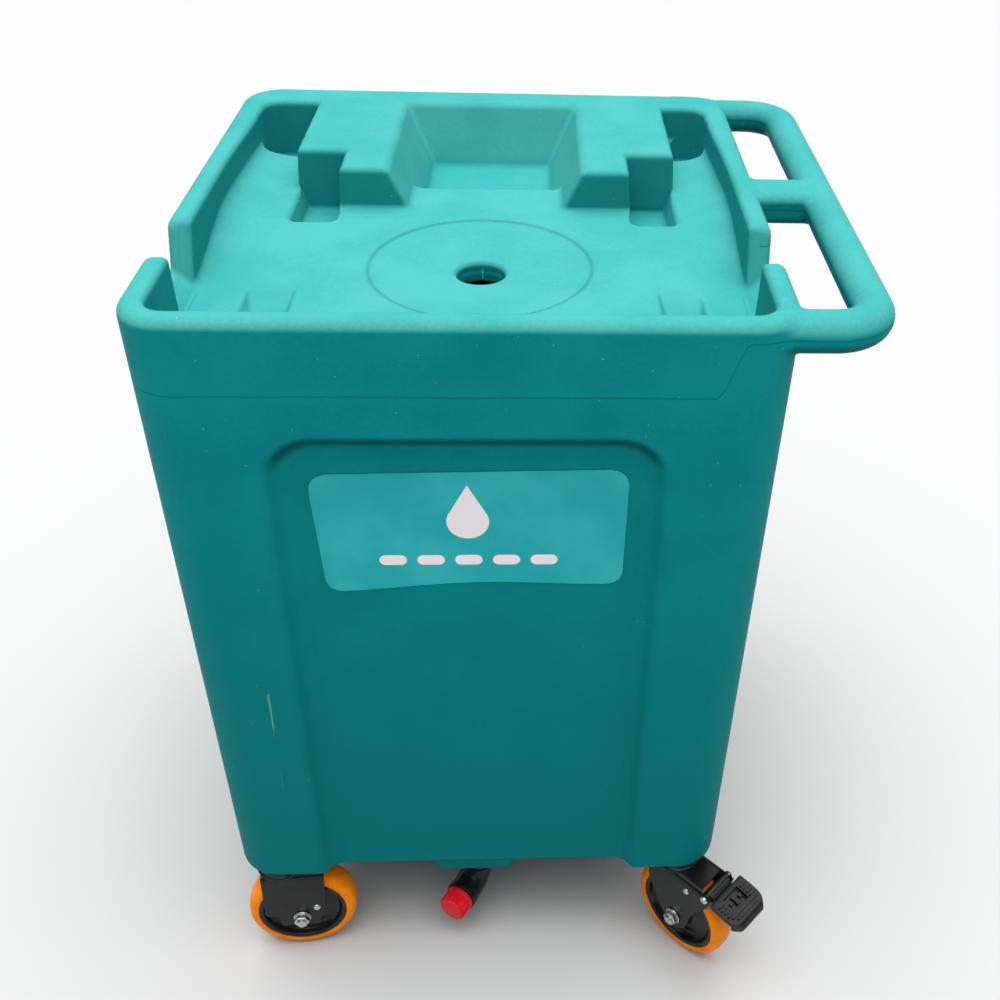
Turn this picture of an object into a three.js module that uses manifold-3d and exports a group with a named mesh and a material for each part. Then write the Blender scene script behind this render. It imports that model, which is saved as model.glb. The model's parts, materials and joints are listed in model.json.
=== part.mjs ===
// Portable waste tote: a rotomoulded tank with a sink-like top tray and a side handle, on four
// swivel casters, emptied through a capped elbow under the front edge.
// Millimetres, +Z up. The front, with the label panel, faces -Y and the handle is on +X.
import * as THREE from "three";
import { mergeVertices } from "three/addons/utils/BufferGeometryUtils.js";
import Module from "manifold-3d";

const wasm = await Module();
wasm.setup();

// ---- Driving dimensions ----
const RIM_HALF_WIDTH = 296;
const RIM_HALF_DEPTH = 306;
const RIM_TOP = 858;
const PARTING_Z = 782;
const BASE_Z = 144;
const SIDE_DRAFT = 0.034;
const FRONT_DRAFT = 0.004;
const BACK_DRAFT = 0.03;
const CORNER_RADIUS = 46;
const WALL = 7;
const BAND_PROUD = 1;
const GAP = 0.3;

const PANEL_Y = -288;
const PANEL_HALF_WIDTH = 185;
const PANEL_TOP = 738;
const PANEL_CORNER_RADIUS = 48;
const PANEL_BEVEL = 14;

const TRAY_X = 6;
const DECK_Z = 812;
const TRAY_HALF_WIDTH = 271;
const TRAY_FRONT_Y = -282;
const TRAY_BACK_Y = 182;
const BLOCK_INNER = 105;
const BLOCK_STEP = 154;
const BLOCK_OUTER = 209;
const BLOCK_FRONT_Y = 44;
const BLOCK_STEP_Y = 99;
const WELL_Z = 790;
const WELL_BACK_Y = 262;
const SEAT_Y = -102;
const SEAT_RADIUS = 112;
const DRAIN_HOLE_RADIUS = 24;
const NOTCH_TOP_Y = [-187, -99];
const NOTCH_SILL_Y = [-175, -137];
const NOTCH_SILL_Z = 796;

const HANDLE_X = 366;
const HANDLE_Z = 837.5;
const HANDLE_FRONT_Y = -279;
const HANDLE_BACK_Y = 286;
const HANDLE_BEND = 46;
const HANDLE_RADIUS = 19.5;
const MIDDLE_BAR_Y = 11;
const MIDDLE_BAR_WIDTH = 54;
const MIDDLE_BAR_HEIGHT = 36;

const SUMP_X = -7;
const SUMP_Z = 110;
const SUMP_HALF_WIDTH = 47;
const SUMP_FRONT_Y = -275;
const SUMP_BACK_Y = -185;
const OUTLET_Y = -235;
const OUTLET_RADIUS = 14;
const ELBOW_DROP = 52;
const ELBOW_BEND = 26;
const ELBOW_HEADING = (240 * Math.PI) / 180;
const CAP_START = 38;

const CASTER_X = 229;
const CASTER_FRONT_Y = -275;
const CASTER_BACK_Y = 251;
const AXLE_Z = 62;
const TRAIL = 20;
const WHEEL_RADIUS = 62;
const WHEEL_HALF_WIDTH = 16;
const CORE_RADIUS = 50;
const FORK_INNER = 20;
const FORK_THICKNESS = 3;
const CROWN_Z = 132;
const CROWN_TOP = 135;
const STEM_RADIUS = 6;
const BRAKE_PIVOT = { u: 60, z: 128 };
const PEDAL_HALF_WIDTH = 28;
const CASTERS = [
  { name: "front_left", x: -CASTER_X, y: CASTER_FRONT_Y, heading: 4, brake: false },
  { name: "front_right", x: CASTER_X, y: CASTER_FRONT_Y, heading: -45, brake: true },
  { name: "rear_left", x: -CASTER_X, y: CASTER_BACK_Y, heading: 8, brake: false },
  { name: "rear_right", x: CASTER_X, y: CASTER_BACK_Y, heading: -12, brake: false },
];

// The origin is under the middle of the whole object's box, which the handle and pedal set.
const ORIGIN = new THREE.Vector3(44.62, -35.24, 0);

// ---- Materials ----
const finish = (color, roughness, metalness = 0) =>
  new THREE.MeshStandardMaterial({ color, roughness, metalness });
const TEAL = finish(0x0b8f92, 0.5);
const STICKER = finish(0x20a0a8, 0.35);
const BLACK_PLASTIC = finish(0x161616, 0.45);
const BLACK_STEEL = finish(0x17181a, 0.4, 0.6);
const ZINC = finish(0xb8babc, 0.3, 1);
const ORANGE = finish(0xe8891c, 0.45);
const RED = finish(0xd7192a, 0.45);
const RUBBER = finish(0x202020, 0.8);

// ---- Solids ----
function asSolid(geometry) {
  const bare = new THREE.BufferGeometry();
  bare.setAttribute("position", geometry.attributes.position.clone());
  if (geometry.index) bare.setIndex(geometry.index.clone());
  const merged = mergeVertices(bare, 1e-4);
  const mesh = new wasm.Mesh({
    numProp: 3,
    vertProperties: new Float32Array(merged.attributes.position.array),
    triVerts: new Uint32Array(merged.index.array),
  });
  return new wasm.Manifold(mesh);
}

function asGeometry(solid) {
  const mesh = solid.getMesh();
  const geometry = new THREE.BufferGeometry();
  geometry.setAttribute("position", new THREE.BufferAttribute(mesh.vertProperties, 3));
  geometry.setIndex(new THREE.BufferAttribute(mesh.triVerts, 1));
  geometry.computeVertexNormals();
  return geometry;
}

const join = (first, ...rest) => rest.reduce((sum, item) => sum.add(item), first);
const cut = (first, ...rest) => rest.reduce((left, item) => left.subtract(item), first);

function meshOf(name, shape, material) {
  const geometry = shape instanceof THREE.BufferGeometry ? shape : asGeometry(shape);
  const mesh = new THREE.Mesh(geometry, material);
  mesh.name = name;
  return mesh;
}

// A closed body through convex rings of points, each with the same number of points.
function loft(rings) {
  const count = rings[0].length;
  const points = rings.flat();
  const faces = [];
  for (let level = 0; level < rings.length - 1; level += 1) {
    for (let i = 0; i < count; i += 1) {
      const a = level * count + i;
      const b = level * count + ((i + 1) % count);
      faces.push([a, b, b + count], [a, b + count, a + count]);
    }
  }
  const last = (rings.length - 1) * count;
  for (let i = 1; i < count - 1; i += 1) {
    faces.push([0, i + 1, i], [last, last + i, last + i + 1]);
  }
  const volume = faces.reduce((sum, [a, b, c]) => {
    const cross = new THREE.Vector3().crossVectors(points[b], points[c]);
    return sum + points[a].dot(cross);
  }, 0);
  const outward = volume > 0 ? faces : faces.map(([a, b, c]) => [a, c, b]);
  const geometry = new THREE.BufferGeometry();
  geometry.setFromPoints(points);
  geometry.setIndex(outward.flat());
  return asSolid(geometry);
}

// A rectangle with round corners, level at height z.
function roundedRing({ x0, x1, y0, y1, radius }, z, steps = 5) {
  const ring = [];
  const corners = [
    [x1 - radius, y1 - radius, 0],
    [x0 + radius, y1 - radius, 90],
    [x0 + radius, y0 + radius, 180],
    [x1 - radius, y0 + radius, 270],
  ];
  for (const [cx, cy, start] of corners) {
    for (let i = 0; i <= steps; i += 1) {
      const angle = THREE.MathUtils.degToRad(start + (90 * i) / steps);
      const x = cx + radius * Math.cos(angle);
      const y = cy + radius * Math.sin(angle);
      ring.push(new THREE.Vector3(x, y, z));
    }
  }
  return ring;
}

// The tote's outside at height z, drawn in by an inset.
function wallRing(z, inset = 0) {
  const drop = RIM_TOP - z;
  const halfWidth = RIM_HALF_WIDTH - SIDE_DRAFT * drop - inset;
  const front = RIM_HALF_DEPTH - FRONT_DRAFT * drop - inset;
  const back = RIM_HALF_DEPTH - BACK_DRAFT * drop - inset;
  const radius = CORNER_RADIUS - inset;
  return roundedRing({ x0: -halfWidth, x1: halfWidth, y0: -front, y1: back, radius }, z);
}

// A box whose foot and top may differ: each is [x0, x1, y0, y1, z].
function taperedBox([ax0, ax1, ay0, ay1, az], [bx0, bx1, by0, by1, bz], radius = 0) {
  const foot = { x0: ax0, x1: ax1, y0: ay0, y1: ay1, radius };
  const top = { x0: bx0, x1: bx1, y0: by0, y1: by1, radius };
  if (radius > 0) return loft([roundedRing(foot, az, 3), roundedRing(top, bz, 3)]);
  const square = (b, z) => [
    new THREE.Vector3(b.x1, b.y1, z),
    new THREE.Vector3(b.x0, b.y1, z),
    new THREE.Vector3(b.x0, b.y0, z),
    new THREE.Vector3(b.x1, b.y0, z),
  ];
  return loft([square(foot, az), square(top, bz)]);
}

function upright(radius, x, y, z0, z1, segments = 24) {
  const geometry = new THREE.CylinderGeometry(radius, radius, z1 - z0, segments);
  geometry.rotateX(Math.PI / 2);
  geometry.translate(x, y, (z0 + z1) / 2);
  return asSolid(geometry);
}

// A turned body about the Y axis of its own frame, from [radius, y] points.
function turned(profile, segments) {
  const points = profile.map(([radius, y]) => new THREE.Vector2(radius, y));
  return asSolid(new THREE.LatheGeometry([...points, points[0].clone()], segments));
}

// A flat plate cut to an outline in u and z, between two distances along the axle.
function plate(outline, from, to) {
  const shape = new THREE.Shape(outline.map(([u, z]) => new THREE.Vector2(u, z)));
  const geometry = new THREE.ExtrudeGeometry(shape, { depth: to - from, bevelEnabled: false });
  geometry.rotateX(Math.PI / 2);
  geometry.translate(0, to, 0);
  return asSolid(geometry);
}

function sweep(shape, path, steps) {
  const options = { steps, bevelEnabled: false, extrudePath: path };
  return asSolid(new THREE.ExtrudeGeometry(shape, options));
}

function disc(radius, segments) {
  const outline = new THREE.Shape();
  for (let i = 0; i < segments; i += 1) {
    const angle = (2 * Math.PI * (i + 0.5)) / segments;
    const draw = i === 0 ? "moveTo" : "lineTo";
    outline[draw](radius * Math.cos(angle), radius * Math.sin(angle));
  }
  outline.closePath();
  return outline;
}

// ---- Tank ----
function panelRing(y, halfWidth, top) {
  const ring = [new THREE.Vector3(halfWidth - 4, y, BASE_Z - 20)];
  for (const [side, start] of [[1, 0], [-1, 90]]) {
    for (let i = 0; i <= 5; i += 1) {
      const angle = THREE.MathUtils.degToRad(start + (90 * i) / 5);
      const cx = side * (halfWidth - PANEL_CORNER_RADIUS);
      const x = cx + PANEL_CORNER_RADIUS * Math.cos(angle);
      const z = top - PANEL_CORNER_RADIUS + PANEL_CORNER_RADIUS * Math.sin(angle);
      ring.push(new THREE.Vector3(x, y, z));
    }
  }
  ring.push(new THREE.Vector3(4 - halfWidth, y, BASE_Z - 20));
  return ring;
}

function panelRecess(grow) {
  const outer = panelRing(PANEL_Y - 24, PANEL_HALF_WIDTH + grow, PANEL_TOP + grow);
  const halfWidth = PANEL_HALF_WIDTH - PANEL_BEVEL + grow;
  const inner = panelRing(PANEL_Y + grow, halfWidth, PANEL_TOP - PANEL_BEVEL + grow);
  return loft([outer, inner]);
}

function sumpBox(inset, z0, z1) {
  const half = SUMP_HALF_WIDTH - inset;
  const foot = [SUMP_X - half, SUMP_X + half, SUMP_FRONT_Y + inset, SUMP_BACK_Y - inset, z0];
  const spread = 7;
  const top = [
    SUMP_X - half - spread,
    SUMP_X + half + spread,
    SUMP_FRONT_Y + inset - spread,
    SUMP_BACK_Y - inset + spread,
    z1,
  ];
  return taperedBox(foot, top, 8);
}

function tankShell() {
  const outside = loft([
    wallRing(BASE_Z, 7),
    wallRing(BASE_Z + 2.5, 2.5),
    wallRing(BASE_Z + 8, 0),
    wallRing(PARTING_Z, 0),
  ]);
  const hollow = loft([wallRing(BASE_Z + WALL, WALL + 3), wallRing(PARTING_Z + 1, WALL)]);
  const inside = cut(hollow, panelRecess(WALL));
  const body = cut(outside, panelRecess(0));
  const sump = sumpBox(0, SUMP_Z, BASE_Z + 4);
  const sumpHollow = sumpBox(WALL, SUMP_Z + WALL, BASE_Z + WALL + 1);
  const outlet = upright(OUTLET_RADIUS, SUMP_X, OUTLET_Y, SUMP_Z - 1, BASE_Z);
  let shell = cut(join(body, sump), inside, sumpHollow, outlet);
  for (const { x, y } of CASTERS) {
    const boss = upright(22, x, y, BASE_Z + 3, 196, 16);
    const pocket = upright(11, x, y, BASE_Z - 1, 186, 16);
    shell = cut(join(shell, boss), pocket);
  }
  return shell;
}

// ---- Top tray ----
const mirrored = (side, near, far) => {
  const a = TRAY_X + side * near;
  const b = TRAY_X + side * far;
  return [Math.min(a, b), Math.max(a, b)];
};

// Everything the tray's surface dips into, grown by a wall where the skin's far side is wanted.
function trayHollows(grow) {
  const top = RIM_TOP + 4;
  const deck = DECK_Z - grow;
  const half = TRAY_HALF_WIDTH + grow;
  const pan = taperedBox(
    [-half, half, TRAY_FRONT_Y - grow, TRAY_BACK_Y + grow, deck],
    [-half - 6, half + 6, TRAY_FRONT_Y - grow - 2, TRAY_BACK_Y + grow + 2, top],
    22,
  );
  const parts = [];
  let open = pan;
  for (const side of [-1, 1]) {
    const [outerLow, outerHigh] = mirrored(side, BLOCK_INNER - 60, BLOCK_OUTER - grow);
    const block = taperedBox(
      [outerLow, outerHigh, BLOCK_STEP_Y + grow, 400, DECK_Z - 40],
      [outerLow, outerHigh, BLOCK_STEP_Y + grow + 3, 400, top + 1],
    );
    const [innerLow, innerHigh] = mirrored(side, BLOCK_INNER - 60, BLOCK_STEP - grow);
    const nose = taperedBox(
      [innerLow, innerHigh, BLOCK_FRONT_Y + grow, 400, DECK_Z - 40],
      [innerLow, innerHigh, BLOCK_FRONT_Y + grow + 3, 400, top + 1],
    );
    open = cut(open, block, nose);

    const [wellLow, wellHigh] = mirrored(side, BLOCK_STEP - 2 - grow, BLOCK_OUTER - 4 + grow);
    parts.push(taperedBox(
      [wellLow, wellHigh, 6 - grow, BLOCK_STEP_Y + 1 + grow, WELL_Z - grow],
      [wellLow, wellHigh, 1 - grow, BLOCK_STEP_Y + 2 + grow, top],
      8,
    ));
    const [slotLow, slotHigh] = mirrored(side, BLOCK_OUTER + 5 - grow, BLOCK_OUTER + 54 + grow);
    parts.push(taperedBox(
      [slotLow, slotHigh, 178 - grow, 256 + grow, WELL_Z - grow],
      [slotLow, slotHigh, 174 - grow, 260 + grow, top],
      16,
    ));
    const [rampLow, rampHigh] = mirrored(side, 178 - grow, 222 + grow);
    const low = TRAY_FRONT_Y - grow;
    const ramp = new THREE.BufferGeometry();
    const wedge = [
      [rampLow, low, WELL_Z - grow],
      [rampHigh, low, WELL_Z - grow],
      [rampHigh, low, DECK_Z + 6],
      [rampLow, low, DECK_Z + 6],
      [rampLow, -150 + grow, deck],
      [rampHigh, -150 + grow, deck],
      [rampHigh, -150 + grow, DECK_Z + 6],
      [rampLow, -150 + grow, DECK_Z + 6],
    ];
    ramp.setFromPoints(wedge.map(([x, y, z]) => new THREE.Vector3(x, y, z)));
    ramp.setIndex([
      0, 1, 2, 0, 2, 3, 5, 4, 7, 5, 7, 6, 4, 0, 3, 4, 3, 7, 1, 5, 6, 1, 6, 2, 3, 2, 6, 3, 6, 7,
      4, 5, 1, 4, 1, 0,
    ]);
    parts.push(asSolid(ramp));
    const inner = TRAY_HALF_WIDTH - 18 - grow;
    const notch = side < 0
      ? [[-400, -inner - 12], [-400, -inner + 8]]
      : [[inner + 12, 400], [inner - 8, 400]];
    parts.push(taperedBox(
      [...notch[0], NOTCH_SILL_Y[0] - grow, NOTCH_SILL_Y[1] + grow, NOTCH_SILL_Z - grow],
      [...notch[1], NOTCH_TOP_Y[0] - grow, NOTCH_TOP_Y[1] + grow, top],
    ));
  }
  parts.push(taperedBox(
    [TRAY_X - 66 - grow, TRAY_X + 66 + grow, 92 - grow, 228 + grow, WELL_Z - grow],
    [TRAY_X - 108 - grow, TRAY_X + 108 + grow, 86 - grow, WELL_BACK_Y + grow, RIM_TOP + 1],
    6,
  ));
  parts.push(taperedBox(
    [TRAY_X - 78 - grow, TRAY_X + 78 + grow, 20, 120, deck],
    [TRAY_X - 108 - grow, TRAY_X + 108 + grow, 20, 120, RIM_TOP + 1],
  ));
  const seat = turned([[0, -8], [SEAT_RADIUS + grow, -8], [SEAT_RADIUS + grow, 2 + grow],
    [DRAIN_HOLE_RADIUS + 3, 9 + grow], [0, 9 + grow]], 32);
  parts.push(seat.rotate([-90, 0, 0]).translate([TRAY_X, SEAT_Y, DECK_Z]));
  return join(open, ...parts);
}

function topDeck() {
  const outside = loft([
    wallRing(PARTING_Z + GAP, -BAND_PROUD),
    wallRing(RIM_TOP - 12, 0),
    wallRing(RIM_TOP - 5, 2),
    wallRing(RIM_TOP - 1.5, 5.5),
    wallRing(RIM_TOP, 11),
  ]);
  const inside = loft([wallRing(PARTING_Z - 1, WALL), wallRing(RIM_TOP - WALL, WALL + 3)]);
  const drain = upright(DRAIN_HOLE_RADIUS, TRAY_X, SEAT_Y, PARTING_Z - 5, RIM_TOP);
  return cut(outside, trayHollows(0), cut(inside, trayHollows(WALL)), drain);
}

// ---- Handle ----
function sideHandle() {
  const start = RIM_HALF_WIDTH + GAP;
  const path = new THREE.CurvePath();
  const point = (x, y) => new THREE.Vector3(x, y, HANDLE_Z);
  const bend = HANDLE_BEND;
  const front = [point(start, HANDLE_FRONT_Y), point(HANDLE_X - bend, HANDLE_FRONT_Y)];
  const grip = [point(HANDLE_X, HANDLE_FRONT_Y + bend), point(HANDLE_X, HANDLE_BACK_Y - bend)];
  const back = [point(HANDLE_X - bend, HANDLE_BACK_Y), point(start, HANDLE_BACK_Y)];
  const arc = (from, corner, to) => new THREE.QuadraticBezierCurve3(from, corner, to);
  path.add(new THREE.LineCurve3(...front));
  path.add(arc(front[1], point(HANDLE_X, HANDLE_FRONT_Y), grip[0]));
  path.add(new THREE.LineCurve3(...grip));
  path.add(arc(grip[1], point(HANDLE_X, HANDLE_BACK_Y), back[0]));
  path.add(new THREE.LineCurve3(...back));
  const loop = sweep(disc(HANDLE_RADIUS, 12), path, 48);
  const halfY = MIDDLE_BAR_WIDTH / 2;
  const halfZ = MIDDLE_BAR_HEIGHT / 2;
  const bar = new THREE.Shape();
  const rim = 12;
  for (let i = 0; i < 16; i += 1) {
    const quarter = Math.floor(i / 4);
    const angle = THREE.MathUtils.degToRad(quarter * 90 + (i % 4) * 30);
    const cy = (quarter === 0 || quarter === 3 ? 1 : -1) * (halfY - rim);
    const cz = (quarter < 2 ? 1 : -1) * (halfZ - rim);
    const draw = i === 0 ? "moveTo" : "lineTo";
    bar[draw](cz + rim * Math.sin(angle), cy + rim * Math.cos(angle));
  }
  bar.closePath();
  const middle = new THREE.LineCurve3(
    new THREE.Vector3(start, MIDDLE_BAR_Y, HANDLE_Z),
    new THREE.Vector3(HANDLE_X, MIDDLE_BAR_Y, HANDLE_Z),
  );
  const keep = taperedBox([start, 500, -400, 400, 700], [start, 500, -400, 400, 900]);
  return join(loop, sweep(bar, middle, 1)).intersect(keep);
}

function frontLabel() {
  const ring = (y) => {
    const flat = roundedRing({ x0: -148, x1: 149, y0: 552, y1: 695, radius: 22 }, 0, 4);
    return flat.map(({ x, y: z }) => new THREE.Vector3(x, y, z));
  };
  return loft([ring(PANEL_Y - GAP), ring(PANEL_Y - GAP - 0.8)]);
}

// ---- Drain ----
function drainParts() {
  const axis = new THREE.Group();
  axis.position.set(SUMP_X, OUTLET_Y, 0);
  const bore = upright(9, 0, 0, 0, BASE_Z);
  const flangeZ = SUMP_Z + WALL + 2.6;
  const fitting = cut(
    join(upright(22, 0, 0, flangeZ, flangeZ + 4), upright(13, 0, 0, SUMP_Z - 24, flangeZ + 1)),
    bore,
  );
  const gasket = cut(
    upright(21, 0, 0, SUMP_Z + WALL + GAP, flangeZ - GAP),
    upright(13.4, 0, 0, 0, BASE_Z),
  );
  const nut = cut(
    upright(21, 0, 0, SUMP_Z - 9, SUMP_Z - GAP, 6),
    upright(13.4, 0, 0, 0, BASE_Z),
  );
  const heading = new THREE.Vector3(Math.cos(ELBOW_HEADING), Math.sin(ELBOW_HEADING), 0);
  const at = (along, z) => heading.clone().multiplyScalar(along).setZ(z);
  const elbowPath = (top, end) => {
    const path = new THREE.CurvePath();
    const bendTop = at(0, ELBOW_DROP + ELBOW_BEND);
    const bendEnd = at(ELBOW_BEND, ELBOW_DROP);
    path.add(new THREE.LineCurve3(at(0, top), bendTop));
    path.add(new THREE.QuadraticBezierCurve3(bendTop, at(0, ELBOW_DROP), bendEnd));
    path.add(new THREE.LineCurve3(bendEnd, at(end, ELBOW_DROP)));
    return path;
  };
  const elbowTop = SUMP_Z - 9 - GAP;
  const elbow = cut(
    join(
      sweep(disc(18, 16), elbowPath(elbowTop, CAP_START - GAP), 14),
      upright(21, 0, 0, elbowTop - 16, elbowTop, 16),
      sweep(disc(11.5, 16), elbowPath(elbowTop - 10, CAP_START + 13), 14),
    ),
    sweep(disc(8.5, 12), elbowPath(elbowTop + 1, CAP_START + 14), 14),
    upright(13 + GAP, 0, 0, SUMP_Z - 24 - GAP, elbowTop + 1),
  );
  axis.add(
    meshOf("drain_fitting", fitting, BLACK_PLASTIC),
    meshOf("drain_gasket", gasket, RUBBER),
    meshOf("drain_locknut", nut, BLACK_PLASTIC),
    meshOf("drain_elbow", elbow, BLACK_PLASTIC),
  );
  const capFrame = new THREE.Group();
  capFrame.position.copy(at(CAP_START, ELBOW_DROP));
  capFrame.rotation.z = ELBOW_HEADING - Math.PI / 2;
  const cap = cut(
    join(turned([[0, 0], [17.5, 0], [17.5, 5], [0, 5]], 24), turned([[0, 4], [17, 4], [17, 17],
      [14.5, 20], [0, 20]], 6)),
    turned([[0, -1], [12, -1], [12, 15.6], [0, 15.6]], 16),
  );
  const seal = turned([[6, 13.3], [11.5, 13.3], [11.5, 15.3], [6, 15.3]], 16);
  capFrame.add(meshOf("drain_cap", cap, RED), meshOf("drain_cap_seal", seal, RUBBER));
  axis.add(capFrame);
  return axis;
}

// ---- Casters ----
// A caster's own frame has its swivel axis on Z, and its wheel trails along +X.
const CHEEK = [[-21, CROWN_TOP], [-21, 66], [-3, 66], [-3, 48], [44, 48], [50, CROWN_TOP]];
const BRAKE_CHEEK = [
  [-21, CROWN_TOP], [-21, 100], [4, 56], [11, 46], [30, 46], [38, 54], [42, 76], [50, 96],
  [61, 111], [66, 120], [69, 128], [66, 134.5], [60, 137], [52, 137], [48, CROWN_TOP],
];

const alongAxle = (solid) => solid.translate([TRAIL, 0, AXLE_Z]);

function fork(brake) {
  const outline = brake ? BRAKE_CHEEK : CHEEK;
  const outer = FORK_INNER + FORK_THICKNESS;
  const crown = taperedBox([-27, 48, -outer, outer, CROWN_Z], [-27, 48, -outer, outer, CROWN_TOP]);
  const cup = upright(27, 0, 0, CROWN_Z, CROWN_TOP + 3.5);
  const axleHole = alongAxle(turned([[0, -40], [6.3, -40], [6.3, 40], [0, 40]], 16));
  const holes = [upright(7.2, 0, 0, 100, 150, 16), axleHole];
  if (brake) {
    const pin = turned([[0, -40], [3.3, -40], [3.3, 40], [0, 40]], 12);
    holes.push(pin.translate([BRAKE_PIVOT.u, 0, BRAKE_PIVOT.z]));
  }
  const cheeks = [plate(outline, -outer, -FORK_INNER), plate(outline, FORK_INNER, outer)];
  return cut(join(crown, cup, ...cheeks), ...holes);
}

function stem() {
  return join(
    upright(6.6, 0, 0, CROWN_Z, CROWN_TOP + 4.5, 16),
    upright(26, 0, 0, CROWN_TOP + 3.8, BASE_Z - GAP),
    upright(STEM_RADIUS, 0, 0, BASE_Z - 1, 178, 16),
  );
}

function wheelCore() {
  const half = WHEEL_HALF_WIDTH;
  return alongAxle(turned([
    [9.6, -19], [16, -19], [17, -7], [42, -5], [45, 1 - half], [CORE_RADIUS, 1 - half],
    [CORE_RADIUS, half - 1], [45, half - 1], [42, 5], [17, 7], [16, 19], [9.6, 19],
  ], 28));
}

function wheelTread() {
  const half = WHEEL_HALF_WIDTH;
  const inner = CORE_RADIUS + GAP;
  return alongAxle(turned([
    [inner, -half], [56, -half], [60.5, -12.5], [WHEEL_RADIUS, -8], [WHEEL_RADIUS, 8],
    [60.5, 12.5], [56, half], [inner, half],
  ], 36));
}

function axleParts(name) {
  const hex = (radius, y0, y1) => turned([[0, y0], [radius, y0], [radius, y1], [0, y1]], 6);
  const outer = FORK_INNER + FORK_THICKNESS + GAP;
  const shank = turned([[0, -35], [5.9, -35], [5.9, outer + 1], [0, outer + 1]], 16);
  const bolt = alongAxle(join(shank, hex(10.5, outer, outer + 7)));
  const bore = turned([[0, -60], [6.2, -60], [6.2, 0], [0, 0]], 16);
  const nut = alongAxle(cut(hex(10.5, -outer - 9, -outer), bore));
  const sleeve = alongAxle(turned([[6.3, -19.7], [9.2, -19.7], [9.2, 19.7], [6.3, 19.7]], 16));
  return [
    meshOf(`${name}_axle_bolt`, bolt, ZINC),
    meshOf(`${name}_axle_nut`, nut, ZINC),
    meshOf(`${name}_axle_sleeve`, sleeve, ZINC),
  ];
}

// The steel lever turns on the pivot, the pad sits on its arm and the shoe under its hub.
function brakeParts(name) {
  const { u, z } = BRAKE_PIVOT;
  const rod = (radius, half) => {
    const profile = [[0, -half], [radius, -half], [radius, half], [0, half]];
    return turned(profile, 12).translate([u, 0, z]);
  };
  const armOutline = [[u, z - 2], [u + 42, z - 6], [u + 42, z - 3], [u + 10, z], [u, z + 5.5]];
  const lever = cut(join(rod(6, 17), plate(armOutline, -17, 17)), rod(3.2, 40));
  const padOutline = [
    [u + 11.5, z + 0.3], [u + 42.3, z - 2.6], [u + 42.3, z - 9], [u + 53, z - 10],
    [u + 55, z - 6], [u + 50, z + 2], [u + 18, z + 7.5], [u + 11.5, z + 7.5],
  ];
  const half = PEDAL_HALF_WIDTH;
  const corner = [[u, -half], [u + 40, -half], [u + 56, 10 - half], [u + 56, half - 10],
    [u + 40, half], [u, half]];
  const outline = new THREE.Shape(corner.map(([x, y]) => new THREE.Vector2(x, y)));
  const trim = new THREE.ExtrudeGeometry(outline, { depth: 60, bevelEnabled: false });
  const pad = plate(padOutline, -half, half).intersect(asSolid(trim).translate([0, 0, z - 30]));
  const shoeOutline = [[u - 5, z - 6.3], [u - 1.6, z - 14.6], [u + 1, z - 14.6], [u + 5, z - 6.3]];
  const shoe = plate(shoeOutline, -12, 12);
  const flange = (side) => rod(5, 26).intersect(
    taperedBox([0, 90, side * 26, side * 23.3, 100], [0, 90, side * 26, side * 23.3, 150]),
  );
  return [
    meshOf(`${name}_brake_lever`, lever, BLACK_STEEL),
    meshOf(`${name}_brake_pedal`, pad, BLACK_PLASTIC),
    meshOf(`${name}_brake_shoe`, shoe, RUBBER),
    meshOf(`${name}_brake_pivot`, join(rod(2.9, 25), flange(1), flange(-1)), ZINC),
  ];
}

function caster({ name, x, y, heading, brake }) {
  const prefix = `${name}_caster`;
  const group = new THREE.Group();
  group.position.set(x, y, 0);
  const insert = cut(upright(10.7, 0, 0, BASE_Z + GAP, 185, 16), upright(6.3, 0, 0, 100, 180, 16));
  group.add(meshOf(`${prefix}_insert`, insert, ZINC), meshOf(`${prefix}_stem`, stem(), ZINC));
  const turn = new THREE.Group();
  turn.rotation.z = THREE.MathUtils.degToRad(heading);
  turn.add(
    meshOf(`${prefix}_fork`, fork(brake), BLACK_STEEL),
    meshOf(`${prefix}_wheel_core`, wheelCore(), BLACK_PLASTIC),
    meshOf(`${prefix}_wheel_tread`, wheelTread(), ORANGE),
    ...axleParts(prefix),
  );
  if (brake) turn.add(...brakeParts(prefix));
  group.add(turn);
  return group;
}

// ---- Assembly ----
const tote = new THREE.Group();
tote.name = "portable_waste_tote";
tote.position.copy(ORIGIN).negate();
tote.add(
  meshOf("tank_shell", tankShell(), TEAL),
  meshOf("top_deck", topDeck(), TEAL),
  meshOf("side_handle", sideHandle(), TEAL),
  meshOf("front_label", frontLabel(), STICKER),
  drainParts(),
  ...CASTERS.map(caster),
);
const group = new THREE.Group();
group.add(tote);

export default group;
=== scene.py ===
"""A portable waste tote: a moulded tank with a sink-like top, a side handle and four casters.

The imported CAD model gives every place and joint. Lengths here are millimetres in each piece's own
frame, and a piece is placed in metres in the model's frame.
"""
import json
import math

import bmesh
import bpy
import numpy as np
from mathutils import Matrix, Vector


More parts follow.
